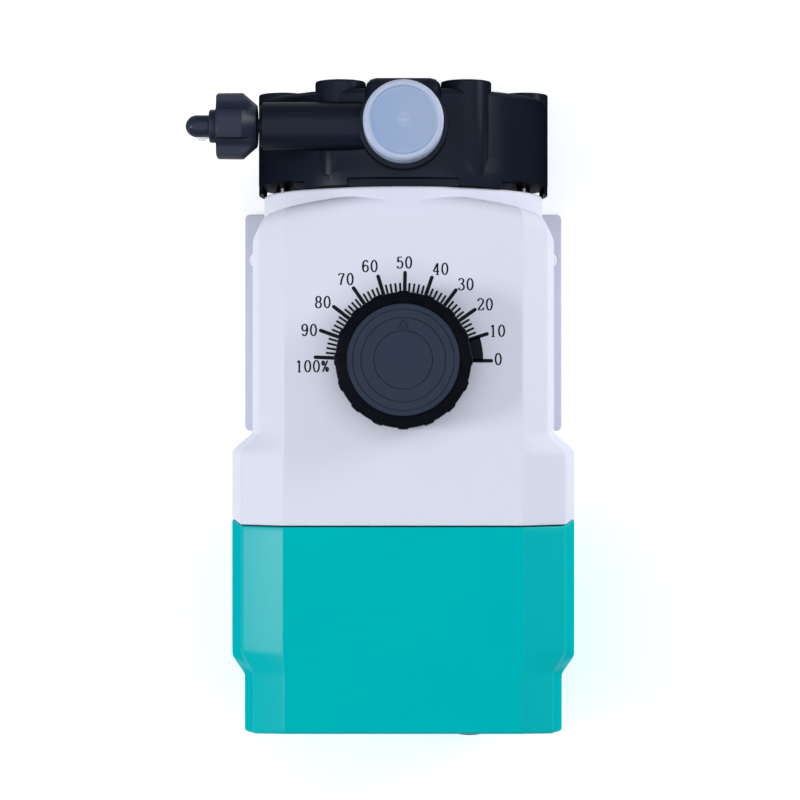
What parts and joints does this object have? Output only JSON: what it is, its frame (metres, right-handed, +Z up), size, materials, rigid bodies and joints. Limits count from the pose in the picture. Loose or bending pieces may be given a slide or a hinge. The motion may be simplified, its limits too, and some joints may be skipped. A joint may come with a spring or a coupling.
{
  "type": "diaphragm dosing pump",
  "caption": "Motor-driven diaphragm dosing pump with round dosing head, capped valves, bleed valve, stroke dial and motor cover on a base plate",
  "frame": {"origin": "the centre of the base plate's underside, on the plane it is bolted down on", "axes": "+Z up, -Y towards the dosing head, +X towards the bleed valve"},
  "size_m": [0.1637, 0.2837, 0.1687],
  "materials": {
    "white_housing": "fine textured moulding",
    "pale_base": "fine textured moulding",
    "teal_cover": "satin moulding",
    "head_black": "satin moulding",
    "knob_black": "satin moulding",
    "knob_insert": "satin with turned rings",
    "milky_plastic": "translucent polyethylene",
    "pearl_plastic": "satin moulding",
    "fitting_black": "satin moulding",
    "rubber": "matt",
    "ptfe": "smooth PTFE",
    "steel": "machined",
    "aluminium": "cast",
    "bronze": "machined bronze",
    "copper": "varnished winding on laminations",
    "ceramic": "polished"
  },
  "bodies": {
    "pump_body": {"base_plate": "pale_base", "housing": "white_housing", "motor_cover": "teal_cover", "seam_gasket": "rubber", "pump_head": "head_black", "diaphragm": "ptfe", "support_disc": "aluminium", "stroke_spindle_bush": "bronze", "push_rod_bush": "bronze", "return_spring": "steel", "gear_case": "aluminium", "gear_case_lid": "aluminium", "cam_bearing_left": "steel", "cam_bearing_right": "steel", "motor_casing": "aluminium", "motor_end_plate": "aluminium", "motor_bearing_front": "steel", "motor_bearing_rear": "steel", "motor_stator": "copper", "cable_gland": "fitting_black", "gland_nut": "fitting_black", "terminal_block": "pearl_plastic", "start_capacitor": "fitting_black", "head_screw_1": "steel", "head_screw_2": "steel", "head_screw_3": "steel", "head_screw_4": "steel", "head_screw_5": "steel", "head_screw_6": "steel", "cover_screw_1": "steel", "cover_screw_2": "steel", "cover_screw_3": "steel", "cover_screw_4": "steel", "discharge_valve_seat": "ptfe", "discharge_valve_cage": "ptfe", "discharge_connector": "fitting_black", "discharge_seal": "rubber", "suction_valve_seat": "ptfe", "suction_valve_cage": "ptfe", "suction_connector": "fitting_black", "suction_seal": "rubber"},
    "stroke_setting": {"stroke_knob": "knob_black", "stroke_knob_insert": "knob_insert", "stroke_spindle": "steel"},
    "bleed_screw": {"bleed_knob": "fitting_black", "bleed_spindle": "fitting_black", "bleed_o_ring": "rubber"},
    "bleed_outlet": {"bleed_nozzle": "fitting_black", "bleed_hose_cap": "milky_plastic"},
    "discharge_closure": {"discharge_cap": "milky_plastic"},
    "suction_closure": {"suction_cap": "milky_plastic"},
    "discharge_check": {"discharge_ball": "ceramic"},
    "suction_check": {"suction_ball": "ceramic"},
    "rotor": {"motor_rotor": "steel", "worm": "steel", "cooling_fan": "fitting_black"},
    "camshaft": {"cam_shaft": "steel", "eccentric_cam": "steel", "worm_wheel": "bronze"},
    "rod": {"push_rod": "steel"}
  },
  "joints": [
    {"name": "stroke_setting_turn", "type": "hinge", "parent": "pump_body", "child": "stroke_setting", "pos_m": [0, -0.0308, 0.15], "axis": [0, 0, 1], "range_deg": [-90, 90]},
    {"name": "bleed_screw_turn", "type": "hinge", "parent": "pump_body", "child": "bleed_screw", "pos_m": [0.065, -0.1269, 0.1433], "axis": [1, 0, 0], "range_deg": [0, 360]},
    {"name": "bleed_outlet_swivel", "type": "hinge", "parent": "pump_body", "child": "bleed_outlet", "pos_m": [0.085, -0.1269, 0.1433], "axis": [1, 0, 0], "range_deg": [-150, 150]},
    {"name": "discharge_cap_turn", "type": "hinge", "parent": "pump_body", "child": "discharge_closure", "pos_m": [0, -0.1269, 0.16], "axis": [0, 0, 1], "range_deg": [0, 720]},
    {"name": "suction_cap_turn", "type": "hinge", "parent": "pump_body", "child": "suction_closure", "pos_m": [0, -0.1269, 0.01], "axis": [0, 0, -1], "range_deg": [0, 720]},
    {"name": "discharge_ball_lift", "type": "slide", "parent": "pump_body", "child": "discharge_check", "axis": [0, 0, 1], "range_m": [0, 0.0015]},
    {"name": "suction_ball_lift", "type": "slide", "parent": "pump_body", "child": "suction_check", "axis": [0, 0, 1], "range_m": [0, 0.0015]},
    {"name": "motor_turn", "type": "hinge", "parent": "pump_body", "child": "rotor", "pos_m": [0.018, 0.06, 0.05225], "axis": [0, 1, 0], "continuous": true},
    {"name": "cam_turn", "type": "hinge", "parent": "pump_body", "child": "camshaft", "pos_m": [0, 0.002, 0.086], "axis": [1, 0, 0], "continuous": true},
    {"name": "push_rod_stroke", "type": "slide", "parent": "pump_body", "child": "rod", "axis": [0, 1, 0], "range_m": [-0.0025, 0.0025], "deforming": ["return_spring", "diaphragm"]}
  ],
  "couplings": [
    {"joint": "cam_turn", "follows": "motor_turn", "ratio": 0.025}
  ]
}
